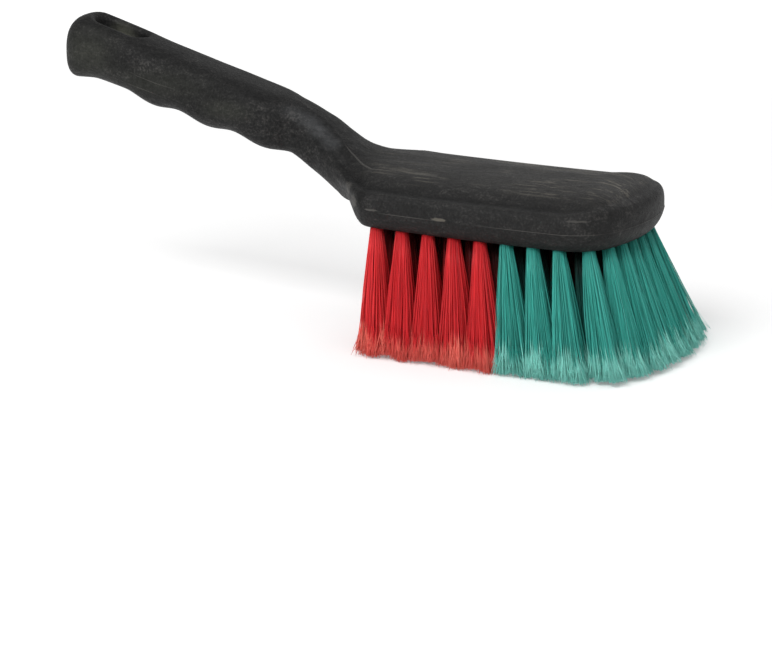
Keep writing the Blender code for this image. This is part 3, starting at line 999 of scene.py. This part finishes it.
def tuft(rng, root, tip, spread, count, flags_each, first_shade):
    """One tuft: filaments that fan out from their hole, with split, scattered ends."""
    disc = spiral_disc(count, rng.uniform(0, 2 * pi))
    middles = disc[rng.choice(count, clump_count, replace=False)]
    clump = np.argmin(np.linalg.norm(disc[:, None] - middles[None], axis=-1), axis=1)
    scatter = np.where(rng.random(count) < stray_share, stray_scatter, tip_scatter)
    starts = np.array(root) + disc * hole_radius
    ends = np.array(tip) + squared(disc) * np.array(spread)
    ends += rng.uniform(-1, 1, (count, 2)) * scatter[:, None]
    pull = (middles[clump] - disc) * clump_share * np.array(spread)
    lifts = sag(tip[0], tip_sag_height) + clump_lift * (rng.random(clump_count) ** 2)[clump]
    tips = lifts + tip_height * rng.random(count) ** 2
    bow = rng.normal(0, bow_height, (count, 2))
    drop = underside_z + root_depth + sag(root[0], sag_height)
    clump_shades = rng.integers(0, zone_cells, clump_count)[clump]
    shades = first_shade + (clump_shades + rng.integers(0, clump_cells, count)) % zone_cells
    phases = rng.uniform(0, 2 * pi, count)
    rings = np.array(filament_rings)
    steps = np.broadcast_to(rings, (count, len(rings)))
    thick = between(filament_radius, filament_tip_radius, steps ** 4)
    centres = strand_centres(starts, ends, bow, pull, drop, tips, steps)
    parts = [tubes(centres, thick, phases, shades, steps)]
    rings = np.array(flag_rings)
    thin = np.broadcast_to(between(flag_radius, flag_tip_radius, rings), (count, len(rings)))
    for _ in range(flags_each):
        begin = 1 - flag_length * rng.uniform(*flag_length_shares, count) / drop
        steps = begin[:, None] + (1 - begin)[:, None] * rings[None]
        swing = rng.normal(0, flag_spread, (count, 2))
        tips = lifts + tip_height * rng.random(count) ** flag_height_power
        flags = strand_centres(starts, ends, bow, pull, drop, tips, steps)
        flags[:, :, :2] += swing[:, None] * rings[None, :, None]
        parts.append(tubes(flags, thin, phases, shades, steps))
    return parts


def row_pieces(row, side, number, red, green):
    """The red tufts and the green tufts of one row."""
    places, pitch = row_places(row)
    reds = row_tufts[row][0]
    rng = np.random.default_rng(number)
    for colour, roots, material in (
        ("red", places[:reds], red), ("green", places[reds:], green),
    ):
        hidden = row >= first_inner_row and colour == "red"
        parts = []
        for x, y in roots:
            tip = tuft_tip(x, y, side)
            outer = row == 0 or (x, y) == places[-1]
            # The zone sets how much painted shade darkens the filaments towards their holes: least for
            # outer tufts, most for inner tufts further forward.
            zone = 0 if outer else 1 if x < deep_start_x else 2
            count = outer_count if outer else inner_count if hidden else filament_count
            flags_each = inner_flags if hidden else flag_count
            first_shade = zone * zone_cells
            spread = (pitch * spread_share, row_pitch * fan_share * spread_share)
            parts += tuft(rng, (x, side * y), tip, spread, count, flags_each, first_shade)
        mesh = mesh_of(f"{colour}_filaments_row_{number}", parts)
        mesh.materials.append(material)
        piece = linked(mesh.name, mesh)
        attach(piece, "root")
        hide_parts(f"{colour}_tufts_row_{number}")


# The materials.

class Nodes:
    """A node tree, with short calls for adding and linking nodes."""

    def __init__(self, owner, shader):
        owner.use_nodes = True
        self.tree = owner.node_tree
        self.shader = self.tree.nodes[shader]

    def feed(self, socket, value):
        """Links a socket, or sets its value."""
        if isinstance(value, bpy.types.NodeSocket):
            self.tree.links.new(value, socket)
        else:
            socket.default_value = value

    def set(self, name, value):
        """Feeds a socket of the shader."""
        self.feed(self.shader.inputs[name], value)

    def add(self, kind, inputs=None, **settings):
        node = self.tree.nodes.new(kind)
        for key, value in settings.items():
            setattr(node, key, value)
        for key, value in (inputs or {}).items():
            self.feed(node.inputs[key], value)
        return node

    def math(self, operation, first, second=0.0, third=0.0):
        return self.add("ShaderNodeMath", {0: first, 1: second, 2: third}, operation=operation).outputs[0]

    def product(self, first, second):
        return self.math("MULTIPLY", first, second)

    def line(self, value, slope, start):
        """The value times a slope, plus a start."""
        return self.math("MULTIPLY_ADD", value, slope, start)

    def mix(self, share, first, second):
        """A colour between the first, at 0, and the second, at 1."""
        return self.add("ShaderNodeMix", {0: share, 6: first, 7: second}, data_type="RGBA").outputs[2]

    def split(self, vector):
        """The three parts of a vector."""
        return self.add("ShaderNodeSeparateXYZ", {"Vector": vector}).outputs

    def ramp(self, value, stops):
        """A colour ramp through stops of (place, colour)."""
        node = self.add("ShaderNodeValToRGB", {"Fac": value})
        elements = node.color_ramp.elements
        elements[0].position, elements[0].color = stops[0]
        elements[1].position, elements[1].color = stops[-1]
        for place, colour in stops[1:-1]:
            elements.new(place).color = colour
        return node.outputs["Color"]

    def noise(self, place, stretch, scale, detail, roughness, distortion):
        """Noise, drawn out along an axis where its stretch is below 1."""
        stretched = self.add("ShaderNodeMapping", {"Vector": place, "Scale": stretch}).outputs["Vector"]
        return self.add("ShaderNodeTexNoise", {
            "Vector": stretched, "Scale": scale, "Detail": detail,
            "Roughness": roughness, "Distortion": distortion,
        }).outputs["Fac"]

    def chance(self, number):
        """A random value that belongs to a number."""
        return self.add("ShaderNodeTexWhiteNoise", {"W": number}, noise_dimensions="1D").outputs["Value"]

    def rise(self, value, low, high):
        """A smooth step from 0 at low to 1 at high."""
        return self.add(
            "ShaderNodeMapRange", {"Value": value, "From Min": low, "From Max": high},
            interpolation_type="SMOOTHSTEP",
        ).outputs["Result"]

    def vector(self, operation, inputs):
        return self.add("ShaderNodeVectorMath", inputs, operation=operation).outputs

    def nearness(self, place, centre, reach):
        """1 at a centre, down to 0 at an ellipsoid round it."""
        from_centre = self.vector("SUBTRACT", {0: place, 1: centre})["Vector"]
        scaled = self.vector("DIVIDE", {0: from_centre, 1: reach})["Vector"]
        return self.math("SUBTRACT", 1.0, self.vector("LENGTH", {0: scaled})["Value"])

    def spot(self, place, centre, reach, ragged):
        """1 inside an ellipsoid and 0 outside it, with an edge that a noise frays."""
        edge = self.line(ragged, spot_fray, self.nearness(place, centre, reach))
        return self.rise(edge, *spot_window)


def grey(value, warm=0.0):
    """A grey colour, redder where warm is above 0."""
    return (value * (1 + warm), value, value * (1 - warm), 1.0)


def block_colour(n, base, place, patch):
    """Adds the block's paler tone, painted light on its top, the streaks on its top and painted shade on
    the handle's upward faces.
    """
    spot = n.split(place)
    on_block = n.rise(spot["X"], *block_window)
    crown = n.product(on_block, n.rise(spot["Z"], *crown_window))
    base = n.mix(n.product(on_block, block_strength), base, grey(*block_tone))
    # The block's top is painted paler: painted light.
    base = n.mix(n.product(crown, lit_crown_strength), base, grey(*lit_crown_tone))
    streak = n.noise(place, *streak_noise)
    streaks = n.product(n.rise(streak, *streak_window), n.rise(patch, *patch_window))
    streaks = n.product(streaks, crown)
    for centre, reach in streak_groups:
        group = n.product(n.spot(place, centre, reach, patch), n.rise(streak, *group_window))
        streaks = n.math("MAXIMUM", streaks, group)
    base = n.mix(n.product(streaks, streak_strength), base, streak_colour)
    # Painted shade on the handle's faces that look up.
    normal = n.add("ShaderNodeNewGeometry").outputs["Normal"]
    upward_shade = n.product(n.rise(n.split(normal)["Z"], *upward_shade_window), n.math("SUBTRACT", 1.0, on_block))
    return n.mix(n.product(upward_shade, upward_shade_strength), base, grey(upward_shade_tone))


def line_highlights(n, base, painted_light, patch):
    """Adds a painted highlight: on the seam and the mould lines broken by a noise, on the crease whole."""
    on_crease = n.rise(painted_light, *crease_highlight_window)
    broken = n.math("MAXIMUM", n.rise(patch, *broken_window), on_crease)
    painted_level = n.product(n.rise(painted_light, *line_highlight_window), broken)
    strength = n.line(on_crease, crease_highlight_strength - line_highlight_strength, line_highlight_strength)
    return n.mix(n.product(painted_level, strength), base, line_highlight_colour)


def black_plastic():
    """Black plastic, mottled by the melt's flow, with pale streaks, painted highlights and painted shade.
    """
    material = bpy.data.materials.new("black_plastic")
    n = Nodes(material, "Principled BSDF")
    place = n.add("ShaderNodeTexCoord").outputs["Object"]
    mottle = n.noise(place, *mottle_noise)
    flow = n.noise(place, *flow_noise)
    grain = n.noise(place, *grain_noise)
    patch = n.noise(place, *patch_noise)
    tone = n.line(grain, grain_in_tone, n.product(mottle, mottle_in_tone))
    tone = n.line(flow, flow_in_tone, tone)
    base = n.ramp(tone, [(at, grey(value, warm)) for at, value, warm in plastic_tones])
    base = block_colour(n, base, place, patch)
    painted_light = n.add("ShaderNodeAttribute", attribute_name="painted_light").outputs["Fac"]
    base = line_highlights(n, base, painted_light, patch)
    # The olive tints are the plastic's own; the others are painted light on the slot's far wall and a
    # painted highlight on the neck.
    for centre, reach, strength, colour in tints_and_painted_light:
        near = n.rise(n.nearness(place, centre, reach), 0.0, 1.0)
        base = n.mix(n.product(n.product(near, strength), mottle), base, colour)
    for centre, reach, strength, colour in scuffs:
        base = n.mix(n.product(n.spot(place, centre, reach, mottle), strength), base, colour)
    # Painted shade in the valley and the hollow, where the level of painted light is below 0.
    painted_shade = n.product(n.rise(n.product(painted_light, -1.0), 0.0, 1.0), painted_shade_strength)
    n.set("Base Color", n.mix(painted_shade, base, grey(painted_shade_tone)))
    n.set("Roughness", n.line(tone, -tone_in_roughness, plastic_roughness))
    n.set("Specular IOR Level", plastic_specular)
    height = n.line(mottle, mottle_in_bump, n.product(flow, flow_in_bump))
    height = n.line(grain, grain_in_bump, height)
    bump = n.add("ShaderNodeBump", {"Height": height, "Strength": bump_strength, "Distance": bump_distance})
    n.set("Normal", bump.outputs["Normal"])
    return material


def bristle(name, colours):
    """Filament plastic: its shade differs from filament to filament, it pales at the ends, and painted
    shade darkens it towards its hole.
    """
    dark, body, bright, tip = colours
    material = bpy.data.materials.new(name)
    n = Nodes(material, "Principled BSDF")
    uv = n.split(n.add("ShaderNodeUVMap", uv_map="OFBake").outputs["UV"])
    along = uv["Y"]
    cell = n.math("FLOOR", n.product(uv["X"], float(shade_cells)))
    middle = n.math("ADD", cell, 0.5)
    chance = n.chance(cell)
    shade = n.ramp(chance, list(zip(shade_stops, (dark, body, body, bright))))
    turn = n.math("SINE", n.product(cell, 2 * pi / zone_cells))
    begin = n.line(n.chance(middle), pale_scatter, pale_start)
    begin = n.line(turn, -pale_wave, begin)
    pale = n.rise(along, begin, n.math("ADD", begin, pale_length))
    pale = n.product(pale, n.line(turn, pale_strength_wave, pale_strength))
    # Painted shade: each zone darkens more, and further down, towards the holes.
    zone = n.math("FLOOR", n.math("DIVIDE", middle, float(zone_cells)))
    least = n.product(n.math("POWER", zone_least, zone), outer_least)
    lit = n.rise(along, lit_start, n.line(zone, zone_lit_end, outer_lit_end))
    light = n.math("ADD", least, n.product(lit, n.math("SUBTRACT", 1.0, least)))
    n.set("Base Color", n.mix(pale, n.mix(light, grey(root_shade_tone), shade), tip))
    n.set("Roughness", n.line(chance, roughness_scatter, filament_roughness))
    n.set("Specular IOR Level", filament_specular)
    return material


# The stage.

def floor():
    """A pale floor that shows white to the camera and keeps the brush's shadow."""
    bm = bmesh.new()
    corners = ((-1, -1), (1, -1), (1, 1), (-1, 1))
    bm.faces.new([bm.verts.new((x * floor_half, y * floor_half, 0)) for x, y in corners])
    material = bpy.data.materials.new("floor_white")
    n = Nodes(material, "Principled BSDF")
    n.set("Base Color", grey(floor_tone))
    n.set("Roughness", floor_roughness)
    n.set("Specular IOR Level", 0.0)
    path = n.add("ShaderNodeLightPath").outputs
    seen = n.math("MAXIMUM", path["Is Camera Ray"], path["Is Glossy Ray"])
    seen = n.math("MAXIMUM", seen, path["Is Transmission Ray"])
    place = n.add("ShaderNodeTexCoord").outputs["Object"]
    far = n.rise(n.vector("LENGTH", {0: place})["Value"], *far_window)
    n.set("Emission Color", white)
    n.set("Emission Strength", n.product(seen, n.line(far, far_glow, floor_glow)))
    obj = add_object("floor", bm, material)


def world():
    """Even studio light that shows as plain white."""
    made = bpy.data.worlds.new("studio")
    bpy.context.scene.world = made
    n = Nodes(made, "Background")
    path = n.add("ShaderNodeLightPath").outputs
    seen = n.math("MAXIMUM", path["Is Camera Ray"], path["Is Transmission Ray"])
    n.set("Color", white)
    n.set("Strength", n.line(seen, 1.0 - sky_strength, sky_strength))


def lights():
    """Square soft boxes, all aimed at one point."""
    for name, place, size, power in lamps:
        data = bpy.data.lights.new(name, "AREA")
        data.size = size
        data.energy = power
        obj = linked(name, data)
        obj.location = place
        obj.rotation_euler = (Vector(lamp_aim) - Vector(place)).to_track_quat("-Z", "Y").to_euler()


def camera():
    """The photograph's view of the brush, from the side and a little above."""
    data = bpy.data.cameras.new("camera")
    data.lens = camera_lens
    data.sensor_width = camera_sensor
    data.sensor_fit = "HORIZONTAL"
    obj = linked("camera", data)
    tilt = Matrix.Rotation(radians(90 - camera_elevation), 4, "X")
    turn = Matrix.Rotation(radians(camera_azimuth), 4, "Z") @ tilt
    away = Matrix.Translation((0, 0, camera_distance))
    obj.matrix_world = Matrix.Translation(camera_aim) @ turn @ away
    bpy.context.scene.camera = obj


def main():
    bpy.context.scene.view_settings.view_transform = "Standard"
    moulding(black_plastic())
    red = bristle("red_bristle", red_colours)
    green = bristle("green_bristle", green_colours)
    rows = len(row_tufts)
    for row in range(rows):
        row_pieces(row, -1, row + 1, red, green)
        row_pieces(row, 1, 2 * rows - row, red, green)
    floor()
    world()
    lights()
    camera()


main()
